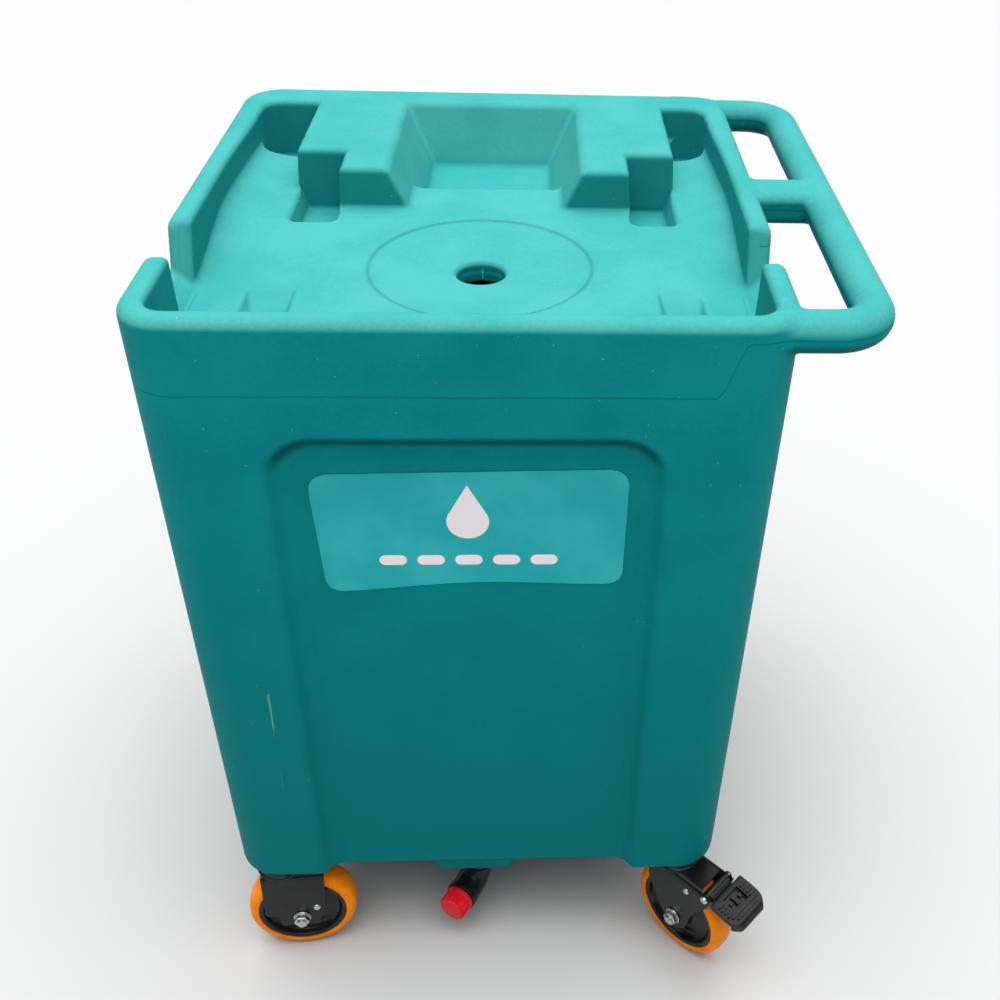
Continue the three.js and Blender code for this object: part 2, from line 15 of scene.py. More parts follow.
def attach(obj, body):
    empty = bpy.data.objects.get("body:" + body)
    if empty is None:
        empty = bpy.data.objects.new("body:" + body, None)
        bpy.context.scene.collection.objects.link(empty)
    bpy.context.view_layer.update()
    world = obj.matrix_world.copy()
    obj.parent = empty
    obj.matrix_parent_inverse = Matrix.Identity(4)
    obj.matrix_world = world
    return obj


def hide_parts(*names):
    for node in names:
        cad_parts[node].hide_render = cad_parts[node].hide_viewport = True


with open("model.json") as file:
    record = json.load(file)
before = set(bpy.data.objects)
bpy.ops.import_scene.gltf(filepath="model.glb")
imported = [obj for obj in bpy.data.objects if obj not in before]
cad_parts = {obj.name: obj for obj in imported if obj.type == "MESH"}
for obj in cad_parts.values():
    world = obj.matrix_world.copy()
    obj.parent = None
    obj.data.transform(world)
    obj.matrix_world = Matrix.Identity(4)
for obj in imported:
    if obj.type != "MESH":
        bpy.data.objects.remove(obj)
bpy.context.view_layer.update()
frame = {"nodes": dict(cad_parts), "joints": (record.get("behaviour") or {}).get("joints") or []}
joints = {joint["name"]: joint for joint in frame["joints"]}
MM = 0.001


# ---- Places taken from the frame ----
def swivel_point(corner):
    return Vector(joints[f"{corner}_caster_swivel_turn"]["pos_m"])


# The middle of the tank's plan, on the floor. The front casters stand 275 mm in front of it.
TANK = Vector((
    (swivel_point("front_left").x + swivel_point("front_right").x) / 2,
    swivel_point("front_left").y + 275 * MM,
    0,
))

# ---- Sizes of the moulding, in millimetres about TANK ----
# A draft is how far a wall leans in for each millimetre below the rim.
HALF_WIDTH = 296
HALF_DEPTH = 306
RIM_TOP = 858
BASE_Z = 144
SIDE_DRAFT = 0.034
FRONT_DRAFT = 0.004
BACK_DRAFT = 0.03
TANK_CORNER = 46
WALL = 8
FRONT_Y = -305
PANEL_Y = -288
PANEL_TOP = 738
PANEL_HALF = 176
SUMP_X = -7
SUMP_Y = -230
SUMP_Z = 110
PARTING_Z = 783

HANDLE_Z = 837.5
HANDLE_RADIUS = 19.5
HANDLE_START_X = 236
LOOP_X = 258
LOOP_Y = 3.5
LOOP_HALF_X = 108
LOOP_HALF_Y = 282.5
BAR_Y = 11

# The tray's parts stand evenly to each side of TRAY_X.
TRAY_X = 6
DECK_Z = 812
WELL_Z = 786
GUTTER_DEPTH = 17
SILL_Z = 794
SEAT_Y = -102
SEAT_RADIUS = 111
SEAT_DEPTH = 6.5
HOLE_RADIUS = 24
PAN_HALF = 271
PAN_BACK = 252
PAN_CORNER = 22
SHOULDER_SIDE = 211
SHOULDER_FRONT = 91
NOSE_SIDE = 158
NOSE_FRONT = 36
HOPPER_HALF = 105
HOPPER_BACK = 258
HOPPER_FRONT = 98
POCKET_SIDE = 208
POCKET_FRONT = 1.5
SLOT_FRONT = 190
CHANNEL_SIDE = 195.5
CHANNEL_HALF = 23.5
RAMP_START = -148
RAMP_LOW = 788
NOTCH_BACK = 99
NOTCH_FRONT = 181

VOXEL = 3.0
SKIN_FACES = 160000
SKIN_LOW = (-303, -315, 104)
SKIN_HIGH = (392, 316, 864)


# ---- Distance fields ----
# A field is negative inside its solid. The radius of a join, cut or overlap rounds the edge it makes.
def overlap(a, b, radius):
    corner = np.hypot(np.maximum(a + radius, 0), np.maximum(b + radius, 0))
    return np.minimum(np.maximum(a, b), -radius) + corner


def join(a, b, radius):
    corner = np.hypot(np.maximum(radius - a, 0), np.maximum(radius - b, 0))
    return np.maximum(np.minimum(a, b), radius) - corner


def cut(a, b, radius):
    return overlap(a, -b, radius)


def rounded_rectangle(u, v, half_u, half_v, radius):
    over_u = np.abs(u) - half_u + radius
    over_v = np.abs(v) - half_v + radius
    corner = np.hypot(np.maximum(over_u, 0), np.maximum(over_v, 0))
    return corner + np.minimum(np.maximum(over_u, over_v), 0) - radius


def smooth_step(value, low, high):
    share = np.clip((value - low) / (high - low), 0, 1)
    return share * share * (3 - 2 * share)


def tank_field(x, y, z):
    """The outside of the tank, its front recess, the sump and the handle."""
    drop = RIM_TOP - z
    front = FRONT_DRAFT * drop - HALF_DEPTH
    back = HALF_DEPTH - BACK_DRAFT * drop
    half_width = HALF_WIDTH - SIDE_DRAFT * drop
    walls = rounded_rectangle(x, y - (front + back) / 2, half_width, (back - front) / 2, TANK_CORNER)
    tank = overlap(overlap(walls, z - RIM_TOP, 12), BASE_Z - z, 5)

    arch_half = PANEL_HALF + 8 * (z - BASE_Z) / (PANEL_TOP - BASE_Z)
    arch = rounded_rectangle(x, z - PANEL_TOP + 800, arch_half, 800, 48)
    chamfer = (arch + 0.8 * (y - FRONT_Y)) / math.hypot(1, 0.8)
    tank = cut(tank, overlap(chamfer, y - PANEL_Y, 6), 4)

    flare = 0.18 * (z - SUMP_Z)
    sump = rounded_rectangle(x - SUMP_X, y - SUMP_Y, 47 + flare, 45 + flare, 14)
    sump = np.maximum(overlap(sump, SUMP_Z - z, 8), z - SUMP_Z - 30)
    tank = join(tank, sump, 8)

    loop = rounded_rectangle(x - LOOP_X, y - LOOP_Y, LOOP_HALF_X, LOOP_HALF_Y, 42)
    grip = np.hypot(loop, z - HANDLE_Z) - HANDLE_RADIUS
    bar = rounded_rectangle(y - BAR_Y, z - HANDLE_Z, 27, 18, 12)
    bar = np.maximum(bar, x - LOOP_X - LOOP_HALF_X)
    handle = np.maximum(join(grip, bar, 5), HANDLE_START_X - x)
    return np.maximum(join(tank, handle, 6), z - RIM_TOP)


def tray_field(x, y, z):
    """All that is hollow above the tray."""
    # side is measured from the tray's middle, above from its deck and drop from the rim's top.
    side = np.abs(x - TRAY_X)
    above = z - DECK_Z
    below = np.minimum(above, 0)
    drop = RIM_TOP - z

    # The deck dips to the drain hole and to the notches, and rises a little at each side.
    seat = np.hypot(x - TRAY_X, y - SEAT_Y)
    bowl = SEAT_DEPTH * np.clip(1 - (seat - HOLE_RADIUS) / (SEAT_RADIUS - HOLE_RADIUS), 0, 1)
    bowl = bowl + smooth_step(-seat, -SEAT_RADIUS - 2, 2 - SEAT_RADIUS)
    gutter = GUTTER_DEPTH * smooth_step(np.abs(x), 205, 266) * smooth_step(-y, -30, 130)
    rise = 7 * smooth_step(np.abs(x), 222, 269) * smooth_step(y, -120, 20)
    deck = DECK_Z + rise - gutter - bowl
    half_pan = PAN_HALF - 6 * smooth_step(y, 40, 230) + 0.02 * above
    back_plane = y - PAN_BACK - 0.05 * above
    pan = rounded_rectangle(x, y + 48, half_pan, 234 + 0.04 * above, PAN_CORNER)
    corner = overlap(np.abs(x) - half_pan, back_plane, PAN_CORNER)
    behind_blocks = np.maximum(190 - side, 60 - y)
    pan = np.minimum(pan, np.maximum(corner, behind_blocks))
    pan = overlap(pan, deck - z, 8)

    # Two stepped blocks stand at the back, with a hopper that slopes down between them.
    inner = (HOPPER_HALF - 0.5 * drop - side) / math.hypot(1, 0.5)
    step_face = SHOULDER_FRONT + 0.06 * above
    shoulder = overlap(side - SHOULDER_SIDE + 0.04 * above, step_face - y, 4)
    nose = overlap(side - NOSE_SIDE + 0.05 * above, NOSE_FRONT + 0.06 * above - y, 4)
    blocks = overlap(join(shoulder, nose, 3), inner, 5)
    hollow = cut(pan, blocks, 5)

    back_wall = (y - HOPPER_BACK + 0.47 * drop) / math.hypot(1, 0.47)
    hopper = overlap(overlap(-inner, back_wall, 5), WELL_Z - z, 6)
    lip = np.minimum(HOPPER_FRONT - 0.12 * above - y, np.maximum(DECK_Z + 3 - z, -y))
    hollow = np.minimum(hollow, overlap(hopper, lip, 2))

    # A pocket in front of each shoulder, a slot at its side and a ramped channel at the front.
    pocket = overlap(side - POCKET_SIDE - 0.3 * below, NOSE_SIDE - side, 6)
    pocket = overlap(pocket, POCKET_FRONT - 0.15 * below - y, 11)
    pocket = overlap(np.maximum(pocket, y - step_face), WELL_Z - z, 5)
    soft = np.maximum(smooth_step(side, 162, 174), smooth_step(-y, -34, -26))
    hollow = join(hollow, pocket, 5 * soft * smooth_step(-y, -88, -78))
    slot = np.maximum(SHOULDER_SIDE - 0.04 * above - side, np.abs(x) - half_pan)
    slot = overlap(slot, np.maximum(back_plane, SLOT_FRONT - y), PAN_CORNER)
    hollow = join(hollow, overlap(slot, WELL_Z - z, 7), 3 * smooth_step(-y, -222, -206))

    ramp = np.maximum(DECK_Z - 0.42 * (RAMP_START - y), RAMP_LOW)
    channel = np.abs(side - CHANNEL_SIDE) - CHANNEL_HALF - 0.6 * below
    channel = overlap(channel, ramp - z, 4)
    channel = np.maximum(channel, -283 - y)
    hollow = join(hollow, np.maximum(channel, z - DECK_Z - 12), 3)

    # The pouring notch in each side of the rim has a sill that falls to the gutter.
    notch_back = (y + NOTCH_BACK + 0.4 * drop) / math.hypot(1, 0.4)
    ends = np.maximum(notch_back, 0.06 * drop - NOTCH_FRONT - y)
    sill = SILL_Z + 0.7 * np.maximum(np.abs(x) - PAN_HALF, 0)
    notch = np.maximum(overlap(ends, sill - z, 6), np.abs(np.abs(x) - HALF_WIDTH) - 28)
    return join(hollow, notch, 5)


def moulding_field(x, y, z):
    """The whole rotational moulding, with the tank hollow inside."""
    solid = cut(tank_field(x, y, z), tray_field(x, y, z), 7)
    hole = np.hypot(x - TRAY_X, y - SEAT_Y) - HOLE_RADIUS
    solid = cut(solid, np.maximum(hole, 760 - z), 6)
    drop = RIM_TOP - z
    half_inside = HALF_WIDTH - SIDE_DRAFT * drop - WALL
    inside = rounded_rectangle(x, y - 2, half_inside, 281 - 0.02 * drop, TANK_CORNER - WALL)
    inside = np.maximum(np.maximum(inside, z - 782), BASE_Z + WALL - z)
    return np.maximum(solid, -inside)


# ---- A mesh from a field ----
def surface_net(field, low, cell):
    """Vertices and quads of the field's zero surface, one vertex in each cell that it crosses."""
    shape = np.array(field.shape) - 1
    corners = [(i, j, k) for i in (0, 1) for j in (0, 1) for k in (0, 1)]
    inside = field < 0
    count = np.zeros(shape, np.uint8)
    for i, j, k in corners:
        count += inside[i:i + shape[0], j:j + shape[1], k:k + shape[2]]
    crossed = (count > 0) & (count < 8)
    number = np.full(shape, -1, np.int32)
    cells = np.argwhere(crossed)
    number[crossed] = np.arange(len(cells))
    values = np.stack([field[tuple((cells + corner).T)] for corner in corners], axis=1)
    total = np.zeros((len(cells), 3))
    hits = np.zeros((len(cells), 1))
    for a, start in enumerate(corners):
        for b, end in enumerate(corners):
            if sum(end) != sum(start) + 1 or np.abs(np.subtract(end, start)).sum() != 1:
                continue
            fa, fb = values[:, a], values[:, b]
            hit = (fa < 0) != (fb < 0)
            share = np.where(hit, fa / np.where(hit, fa - fb, 1), 0)[:, None]
            point = np.array(start) + share * np.subtract(end, start)
            total += np.where(hit[:, None], point, 0)
            hits += hit[:, None]
    vertices = low + cell * (cells + total / hits)
    quads = []
    for axis in range(3):
        first = [slice(None)] * 3
        second = [slice(None)] * 3
        first[axis] = slice(None, -1)
        second[axis] = slice(1, None)
        change = inside[tuple(first)] != inside[tuple(second)]
        edges = np.argwhere(change)
        across, along = [other for other in range(3) if other != axis]
        keep = (edges[:, across] > 0) & (edges[:, along] > 0)
        keep &= (edges[:, across] < shape[across]) & (edges[:, along] < shape[along])
        edges = edges[keep]
        ring = []
        for step_across, step_along in ((1, 1), (0, 1), (0, 0), (1, 0)):
            near = edges.copy()
            near[:, across] -= step_across
            near[:, along] -= step_along
            ring.append(number[tuple(near.T)])
        ring = np.stack(ring, axis=1)
        flip = inside[tuple(edges.T)] == (axis == 1)
        ring[flip] = ring[flip][:, ::-1]
        quads.append(ring)
    return vertices, np.concatenate(quads)


def slope_of(field, points, step=0.4):
    """The field's slope along X, Y and Z at each point."""
    slopes = []
    for axis in range(3):
        shift = np.zeros(3)
        shift[axis] = step
        ahead, behind = field(*(points + shift).T), field(*(points - shift).T)
        slopes.append((ahead - behind) / (2 * step))
    return np.stack(slopes, axis=1)


def settle(field, points, limit, rounds=3):
    """Moves points onto the field's surface."""
    for _ in range(rounds):
        slope = slope_of(field, points)
        steep = np.maximum((slope ** 2).sum(axis=1), 0.2)
        move = slope * (field(*points.T) / steep)[:, None]
        points = points - np.clip(move, -limit, limit)
    return points


def mesh_from_arrays(name, vertices, faces):
    mesh = bpy.data.meshes.new(name)
    size = faces.shape[1]
    mesh.vertices.add(len(vertices))
    mesh.vertices.foreach_set("co", vertices.astype(np.float32).ravel())
    mesh.loops.add(faces.size)
    mesh.loops.foreach_set("vertex_index", faces.astype(np.int32).ravel())
    mesh.polygons.add(len(faces))
    mesh.polygons.foreach_set("loop_start", np.arange(0, faces.size, size, dtype=np.int32))
    mesh.update(calc_edges=True)
    mesh.validate()
    return mesh


def thinned(mesh, faces):
    """The mesh with its flat parts in fewer triangles. faces is about how many are left."""
    piece = bpy.data.objects.new("thinning", mesh)
    bpy.context.scene.collection.objects.link(piece)
    modifier = piece.modifiers.new("thin", "DECIMATE")
    modifier.ratio = min(1, faces / (2 * len(mesh.polygons)))
    evaluated = piece.evaluated_get(bpy.context.evaluated_depsgraph_get())
    result = bpy.data.meshes.new_from_object(evaluated)
    bpy.data.objects.remove(piece)
    return result


def moulded_mesh(name, field, low, high, cell, faces):
    """The field's surface in metres, with the field's own slopes as its normals."""
    axes = [np.arange(a, b, cell, dtype=np.float32) for a, b in zip(low, high)]
    grid = np.meshgrid(*axes, indexing="ij", sparse=True)
    vertices, quads = surface_net(field(*grid), np.array(low, float), cell)
    vertices = settle(field, vertices, cell / 2)
    mesh = thinned(mesh_from_arrays(name, vertices, quads), faces)
    points = np.zeros(len(mesh.vertices) * 3)
    mesh.vertices.foreach_get("co", points)
    points = settle(field, points.reshape(-1, 3), 0.5, rounds=2)
    normals = slope_of(field, points)
    normals /= np.linalg.norm(normals, axis=1)[:, None]
    mesh.vertices.foreach_set("co", (points * MM + np.array(TANK)).astype(np.float32).ravel())
    mesh.polygons.foreach_set("use_smooth", np.ones(len(mesh.polygons), bool))
    mesh.update()
    mesh.normals_split_custom_set_from_vertices(normals)
    return mesh


# ---- Smaller solids ----
def filleted(points, radius=1.0, steps=4):
    """A closed outline with its corners rounded. A point's third number is its own radius."""
    outline = []
    for index, point in enumerate(points):
        corner = Vector(point[:2])
        before = Vector(points[index - 1][:2]) - corner
        after = Vector(points[(index + 1) % len(points)][:2]) - corner
        size = point[2] if len(point) > 2 else radius
        if size == 0:
            outline.append(corner)
            continue
        reach = min(size, 0.49 * before.length, 0.49 * after.length)
        start = corner + before.normalized() * reach
        end = corner + after.normalized() * reach
        for step in range(steps + 1):
            share = step / steps
            outline.append(
                start * (1 - share) ** 2 + corner * 2 * share * (1 - share) + end * share ** 2
            )
    return outline


def bridged(bm, rings, closed):
    """Faces between neighbouring rings of vertices. A ring of one vertex is a point."""
    following = rings[1:] + (rings[:1] if closed else [])
    for ring, other in zip(rings, following):
        for k in range(max(len(ring), len(other))):
            corners = [ring[k % len(ring)], ring[(k + 1) % len(ring)]]
            corners += [other[(k + 1) % len(other)], other[k % len(other)]]
            corners = list(dict.fromkeys(corners))
            if len(corners) > 2:
                bm.faces.new(corners)


def lathe(profile, segments=48):
    """A solid turned about Z from a closed profile of (radius, height)."""
    bm = bmesh.new()
    rings = []
    for radius, height in profile:
        angles = [2 * math.pi * k / segments for k in range(segments)] if radius > 0.001 else [0]
        ring = [(radius * math.cos(a), radius * math.sin(a), height) for a in angles]
        rings.append([bm.verts.new(point) for point in ring])
    bridged(bm, rings, closed=True)
    return bm


def prism(outline, low, high, axes=(0, 2, 1)):
    """A plate cut to an outline. axes gives the outline's two axes and the one it is pulled along."""
    bm = bmesh.new()
    ends = []
    for level in (low, high):
        ring = []
        for u, v in outline:
            point = [0, 0, 0]
            point[axes[0]], point[axes[1]], point[axes[2]] = u, v, level
            ring.append(bm.verts.new(point))
        ends.append(ring)
        bm.faces.new(ring)
    bridged(bm, ends, closed=False)
    return bm


def swept(path, radius, segments=32):
    """A round bar along a path of points."""
    bm = bmesh.new()
    rings = []
    for index, point in enumerate(path):
        along = path[min(index + 1, len(path) - 1)] - path[max(index - 1, 0)]
        turn = along.to_track_quat("Z", "X").to_matrix()
        ring = []
        for k in range(segments):
            angle = 2 * math.pi * k / segments
            offset = Vector((radius * math.cos(angle), radius * math.sin(angle), 0))
            ring.append(bm.verts.new(point + turn @ offset))
        rings.append(ring)
    bm.faces.new(rings[0])
    bm.faces.new(rings[-1])
    bridged(bm, rings, closed=False)
    return bm


def united(*shapes):
    """One bmesh that holds several closed shapes."""
    bm = bmesh.new()
    for shape in shapes:
        mesh = bpy.data.meshes.new("part")
        shape.to_mesh(mesh)
        bm.from_mesh(mesh)
        bpy.data.meshes.remove(mesh)
    return bm


def moved(bm, matrix):
    bmesh.ops.transform(bm, matrix=matrix, verts=bm.verts)
    return bm


def combined(first, second, operation):
    """A boolean of two closed shapes."""
    pieces = []
    for bm in (first, second):
        bmesh.ops.recalc_face_normals(bm, faces=bm.faces)
        mesh = bpy.data.meshes.new("part")
        bm.to_mesh(mesh)
        piece = bpy.data.objects.new("part", mesh)
        bpy.context.scene.collection.objects.link(piece)
        pieces.append(piece)
    modifier = pieces[0].modifiers.new("boolean", "BOOLEAN")
    modifier.operation = operation
    modifier.object = pieces[1]
    evaluated = pieces[0].evaluated_get(bpy.context.evaluated_depsgraph_get())
    result = bmesh.new()
    result.from_mesh(evaluated.to_mesh())
    for piece in pieces:
        bpy.data.objects.remove(piece)
    return result


def shown(name, mesh, body, material, slot, stands_for):
    """A mesh that moves with a body and stands for CAD nodes, if any."""
    mesh.materials.append(material)
    piece = bpy.data.objects.new(name, mesh)
    bpy.context.scene.collection.objects.link(piece)
    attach(piece, body)
    if stands_for:
        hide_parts(*stands_for)
    return piece


def add_piece(name, bm, place, body, look, stands_for, bevel=0.0):
    """A piece from a shape in millimetres. place puts it in the row frame."""
    moved(bm, place @ Matrix.Scale(MM, 4))
    bmesh.ops.remove_doubles(bm, verts=bm.verts, dist=1e-6)
    bmesh.ops.recalc_face_normals(bm, faces=bm.faces)
    mesh = bpy.data.meshes.new(name)
    bm.to_mesh(mesh)
    mesh.shade_smooth()
    mesh.set_sharp_from_angle(angle=math.radians(35))
    material, slot = look
    piece = shown(name, mesh, body, material, slot, stands_for)
    if bevel:
        modifier = piece.modifiers.new("edges", "BEVEL")
        modifier.width = bevel * MM
        modifier.segments = 3
        modifier.limit_method = "ANGLE"
        modifier.angle_limit = math.radians(35)
        modifier.harden_normals = True
    return piece


# ---- Finishes ----
class Finish:
    """A node-based material around one principled shader, in metres of the piece's own space."""

    def __init__(self, name, roughness, specular=0.4, metallic=0.0):
        self.material = bpy.data.materials.new(name)
        self.material.use_nodes = True
        self.tree = self.material.node_tree
        self.shader = self.tree.nodes["Principled BSDF"]
        self.shader.inputs["Metallic"].default_value = metallic
        self.shader.inputs["Specular IOR Level"].default_value = specular
        self.shader.inputs["Roughness"].default_value = roughness
        self.place = self.node("ShaderNodeTexCoord").outputs["Object"]

    def node(self, kind, inputs=None, **settings):
        node = self.tree.nodes.new(kind)
        for name, value in settings.items():
            setattr(node, name, value)
        for key, value in (inputs or {}).items():
            self.feed(node.inputs[key], value)
        return node

    def feed(self, socket, value):
        if isinstance(value, bpy.types.NodeSocket):
            self.tree.links.new(value, socket)
        else:
            socket.default_value = value

    def math(self, operation, *values):
        inputs = dict(enumerate(values))
        return self.node("ShaderNodeMath", inputs, operation=operation).outputs[0]

    def product(self, first, *others):
        for other in others:
            first = self.math("MULTIPLY", first, other)
        return first

    def step(self, value, low, high):
        """0 below low and 1 above high, with a soft change between."""
        inputs = {"Value": value, "From Min": low, "From Max": high}
        node = self.node("ShaderNodeMapRange", inputs, interpolation_type="SMOOTHSTEP")
        return node.outputs["Result"]

    def noise(self, size_mm, detail=2.0, stretch=(1, 1, 1)):
        scaled = self.node("ShaderNodeVectorMath", {0: self.place, 1: stretch},
                           operation="MULTIPLY")
        inputs = {"Vector": scaled.outputs[0], "Scale": 1000 / size_mm, "Detail": detail}
        return self.node("ShaderNodeTexNoise", inputs).outputs["Fac"]

    def mix(self, share, first, second):
        node = self.node("ShaderNodeMix", data_type="RGBA")
        self.feed(node.inputs["Factor"], share)
        for key, colour in (("A", first), ("B", second)):
            socket = [s for s in node.inputs if s.name == key and s.type == "RGBA"][0]
            self.feed(socket, colour if isinstance(colour, bpy.types.NodeSocket) else (*colour, 1))
        return [s for s in node.outputs if s.type == "RGBA"][0]

    def colour(self, value):
        self.feed(self.shader.inputs["Base Color"], value)

    def rough(self, value, low, high):
        inputs = {"Value": value, "To Min": low, "To Max": high}
        node = self.node("ShaderNodeMapRange", inputs)
        self.feed(self.shader.inputs["Roughness"], node.outputs["Result"])

    def relief(self, *layers):
        """Bumps from pairs of a 0 to 1 height and its full height in millimetres."""
        total = None
        for height, size_mm in layers:
            scaled = self.math("MULTIPLY", height, size_mm * MM)
            total = scaled if total is None else self.math("ADD", total, scaled)
        bump = self.node("ShaderNodeBump", {"Height": total, "Strength": 1.0, "Distance": 1.0})
        self.feed(self.shader.inputs["Normal"], bump.outputs["Normal"])


def mottled(name, low, high, roughness, size_mm=18, grain_mm=1.2, grain_height=0.02, **shader):
    """A finish that varies softly between two colours, with a fine grain."""
    finish = Finish(name, roughness, **shader)
    cloud = finish.noise(size_mm, 3.0)
    finish.colour(finish.mix(finish.step(cloud, 0.3, 0.7), low, high))
    finish.rough(cloud, max(roughness - 0.08, 0.02), roughness + 0.08)
    finish.relief((finish.noise(grain_mm, 2.0), grain_height))
    return finish.material


TEAL_SIDE = (0.0016, 0.222, 0.236)
TEAL_SIDE_LIGHT = (0.0035, 0.262, 0.280)
# Painted shade for the lower sides.
TEAL_LOW_SHADE = (0.0012, 0.178, 0.192)
# Paler teal for faces that look up, painted as lit by the overhead light and its sheen.
TEAL_LIT_TOP = (0.046, 0.352, 0.344)
TEAL_LIT_TOP_PALE = (0.064, 0.386, 0.376)
# Painted shade, used on faces that look down, along the parting line and round the drain seat.
TEAL_SHADE = (0.0008, 0.100, 0.110)
SCUFF_WHITE = (0.55, 0.66, 0.66)
# Pale beige for dust and a painted sheen on the rim's round edge.
DUST_AND_SHEEN_BEIGE = (0.40, 0.47, 0.42)


class TealFinish(Finish):
    """Moulded teal plastic. Painted light makes its upward faces and the tray's inner walls paler,
    painted shade makes its foot, underside, well, parting line and drain seat's edge deeper, and dust
    with a painted sheen lies on the rim's round edge.
    """

    def __init__(self):
        super().__init__("teal_polyethylene", 0.5, specular=0.02)
        from_tank = self.node("ShaderNodeVectorMath", {0: self.place, 1: tuple(TANK)},
                              operation="SUBTRACT")
        split = self.node("ShaderNodeSeparateXYZ", {0: from_tank.outputs[0]})
        self.x, self.y, self.z = [self.math("MULTIPLY", output, 1000) for output in split.outputs]
        facing = self.node("ShaderNodeNewGeometry").outputs["Normal"]
        self.up = self.node("ShaderNodeSeparateXYZ", {0: facing}).outputs[2]

        # How far a place is outside the middle of the rim, seen from above.
        off_side = self.math("SUBTRACT", self.math("ABSOLUTE", self.x), 284)
        off_front = self.math("SUBTRACT", self.math("ABSOLUTE", self.math("ADD", self.y, 9)), 279)
        self.off_rim = self.math("MAXIMUM", off_side, off_front)
        self.outside = self.math("GREATER_THAN", self.off_rim, 0)

        cloud = self.noise(85, 4.0)
        colour = self.base_colour(cloud)
        colour, seam_height = self.parting_line(colour)
        colour, seat_height = self.drain_seat(colour)
        colour = self.scuffs(colour)
        self.colour(self.dust_and_sheen(colour))
        self.rough(cloud, 0.43, 0.57)
        self.relief(
            (self.noise(130, 1.0), 1.2), (self.noise(34, 2.0), 0.22), (self.noise(2.4, 2.0), 0.03),
            (seam_height, 0.5), (seat_height, -1.5),
        )

    def base_colour(self, cloud):
        """Deep sides, with tops and the tray's inner walls painted paler as lit, and painted shade on
        the foot, the underside and the well.
        """
        blend = self.math("ADD", self.product(cloud, 0.75), self.product(self.noise(5, 3.0), 0.25))
        blend = self.step(blend, 0.36, 0.64)
        side = self.mix(blend, TEAL_SIDE, TEAL_SIDE_LIGHT)
        # Painted shade: the sides grow darker towards the foot.
        low = self.math("SUBTRACT", 1, self.step(self.z, 120, 900))
        side = self.mix(low, side, TEAL_LOW_SHADE)
        # Painted light: upward faces take the paler lit teal.
        top = self.mix(blend, TEAL_LIT_TOP, TEAL_LIT_TOP_PALE)
        # Painted light: the tray's inner walls are lightened towards the lit teal.
        within = self.math("SUBTRACT", 1, self.outside)
        tray_wall_light = self.product(within, self.step(self.z, DECK_Z - 22, DECK_Z - 12), 0.3)
        side = self.mix(tray_wall_light, side, TEAL_LIT_TOP)
        colour = self.mix(self.step(self.up, 0.02, 0.48), side, top)
        # Painted shade: the well's floor is dulled towards a side tone.
        well_shade = self.product(self.step(self.z, 806, 790), self.step(self.z, 770, 780), 0.3)
        colour = self.mix(well_shade, colour, TEAL_SIDE_LIGHT)
        # Painted shade: faces that look down are darkened.
        return self.mix(self.step(self.up, -0.08, -0.6), colour, TEAL_SHADE)

    def parting_line(self, colour):
        """The mould's line goes round below the rim and climbs to the middle of the handle, as a
        small step with painted shade along it.
        """
        climb = self.product(self.step(self.x, 219, 246), HANDLE_Z - PARTING_Z)
        seam = self.math("ADD", climb, PARTING_Z)
        seam = self.math("ADD", seam, self.product(self.noise(60, 1.0), 2))
        above_seam = self.math("SUBTRACT", self.z, seam)
        height = self.product(self.step(above_seam, -0.7, 0.7), self.outside)
        # Painted shade: a thin dark line along the seam's step.
        line = self.math("SUBTRACT", 1, self.step(self.math("ABSOLUTE", above_seam), 0.3, 1.5))
        notch_middle = (NOTCH_BACK + NOTCH_FRONT) / 2
        from_notch = self.math("ABSOLUTE", self.math("ADD", self.y, notch_middle))

        # It isn't drawn across the pouring notches, only on the handle beside one of them.
        past_notch = self.math("MAXIMUM", self.math("GREATER_THAN", self.x, 314),
                               self.math("GREATER_THAN", from_notch, 48))
        line = self.product(line, self.outside, past_notch, 0.3)
        return self.mix(line, colour, TEAL_SHADE), height

    def drain_seat(self, colour):
        """Painted shade darkens a fine line round the edge of the drain seat, which is a little sunk.
        """
        plan = self.node("ShaderNodeCombineXYZ", {0: self.x, 1: self.y}).outputs[0]
        radius = self.node("ShaderNodeVectorMath", {0: plan, 1: (TRAY_X, SEAT_Y, 0)},
                           operation="DISTANCE").outputs["Value"]
        on_deck = self.product(self.step(self.z, 790, 795), self.step(self.z, 822, 818))
        sunk = self.product(self.step(radius, SEAT_RADIUS + 3, SEAT_RADIUS - 3), on_deck)
        # Painted shade: a thin dark ring along the seat's edge.
        ring = self.math("ABSOLUTE", self.math("SUBTRACT", radius, SEAT_RADIUS))
        ring = self.product(self.step(ring, 4.5, 0.5), on_deck, 0.16)
        return self.mix(ring, colour, TEAL_SHADE), sunk

    def scuffs(self, colour):
        """Thin white scuffs run down the left front leg, and a few specks lie anywhere."""
        streak = self.step(self.noise(7, 2.0, stretch=(1, 1, 0.035)), 0.66, 0.70)
        patch = self.step(self.noise(45, 2.0), 0.48, 0.60)
        on_leg = self.product(self.math("LESS_THAN", self.z, 430),
                              self.math("LESS_THAN", self.x, -205),
                              self.math("LESS_THAN", self.y, -290))
        colour = self.mix(self.product(streak, patch, on_leg, 0.30), colour, SCUFF_WHITE)
        specks = self.step(self.noise(3.2, 1.0), 0.80, 0.83)
        return self.mix(self.product(specks, 0.5), colour, SCUFF_WHITE)

    def dust_and_sheen(self, colour):
        """Patchy dust and a painted sheen lie on the round edge of the rim."""
        on_edge = self.product(self.step(self.z, RIM_TOP - 16, RIM_TOP - 6),
                               self.step(self.up, 0.97, 0.75), self.step(self.up, 0.2, 0.45))
        patchy = self.step(self.noise(3.5, 6.0), 0.40, 0.72)
        by_rim = self.math("GREATER_THAN", self.off_rim, -4)
        return self.mix(self.product(on_edge, patchy, by_rim, 0.10), colour, DUST_AND_SHEEN_BEIGE)


